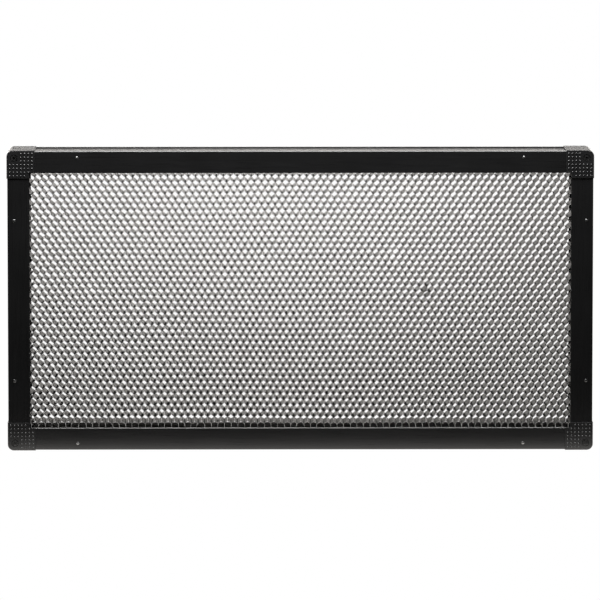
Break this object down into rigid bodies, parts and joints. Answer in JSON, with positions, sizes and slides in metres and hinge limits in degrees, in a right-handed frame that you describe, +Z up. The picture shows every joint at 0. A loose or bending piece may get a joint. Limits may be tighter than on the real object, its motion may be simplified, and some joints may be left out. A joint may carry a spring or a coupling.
{
  "type": "framed honeycomb louver",
  "caption": "Rectangular honeycomb louver for a soft light: silver foil cells in a black channel frame with moulded, dotted corner caps and sprung detents behind.",
  "frame": {"origin": "middle of the bounding box in plan, at the underside of the two lower corner caps that it stands on", "axes": "+X along the width, to the right seen from the front; the front face looks along -Y and the lamp side along +Y; +Z up"},
  "size_m": [0.66, 0.0686, 0.339],
  "materials": {
    "anodised_black": "satin",
    "cap_black": "satin",
    "foil": "polished",
    "key_metal": "satin",
    "screw_black": "satin",
    "rivet_black": "gloss",
    "foam_black": "matte",
    "housing_plastic": "satin",
    "pin_steel": "polished",
    "spring_steel": "satin"
  },
  "bodies": {
    "frame": {"frame_rail_top": "anodised_black", "core_seal_top": "foam_black", "frame_rail_bottom": "anodised_black", "core_seal_bottom": "foam_black", "frame_rail_left": "anodised_black", "core_seal_left": "foam_black", "frame_rail_right": "anodised_black", "core_seal_right": "foam_black", "corner_cap_top_left": "cap_black", "corner_key_top_left": "key_metal", "detent_housing_top_left": "housing_plastic", "detent_spring_top_left": "spring_steel", "corner_cap_top_right": "cap_black", "corner_key_top_right": "key_metal", "detent_housing_top_right": "housing_plastic", "detent_spring_top_right": "spring_steel", "corner_cap_bottom_left": "cap_black", "corner_key_bottom_left": "key_metal", "detent_housing_bottom_left": "housing_plastic", "detent_spring_bottom_left": "spring_steel", "corner_cap_bottom_right": "cap_black", "corner_key_bottom_right": "key_metal", "detent_housing_bottom_right": "housing_plastic", "detent_spring_bottom_right": "spring_steel", "cap_screws": "screw_black", "rail_rivets": "rivet_black", "honeycomb_core": "foil", "core_packer": "foam_black", "housing_screws": "screw_black"},
    "pin_top_left": {"detent_pin_top_left": "pin_steel"},
    "pin_top_right": {"detent_pin_top_right": "pin_steel"},
    "pin_bottom_left": {"detent_pin_bottom_left": "pin_steel"},
    "pin_bottom_right": {"detent_pin_bottom_right": "pin_steel"}
  },
  "joints": [
    {"name": "detent_press_top_left", "type": "slide", "parent": "frame", "child": "pin_top_left", "axis": [0, 0, 1], "range_m": [0, 0.0028], "stiffness_N_per_m": 1500, "springref_m": -0.002, "deforming": ["detent_spring_top_left"]},
    {"name": "detent_press_top_right", "type": "slide", "parent": "frame", "child": "pin_top_right", "axis": [0, 0, 1], "range_m": [0, 0.0028], "stiffness_N_per_m": 1500, "springref_m": -0.002, "deforming": ["detent_spring_top_right"]},
    {"name": "detent_press_bottom_left", "type": "slide", "parent": "frame", "child": "pin_bottom_left", "axis": [0, 0, -1], "range_m": [0, 0.0028], "stiffness_N_per_m": 1500, "springref_m": -0.002, "deforming": ["detent_spring_bottom_left"]},
    {"name": "detent_press_bottom_right", "type": "slide", "parent": "frame", "child": "pin_bottom_right", "axis": [0, 0, -1], "range_m": [0, 0.0028], "stiffness_N_per_m": 1500, "springref_m": -0.002, "deforming": ["detent_spring_bottom_right"]}
  ]
}
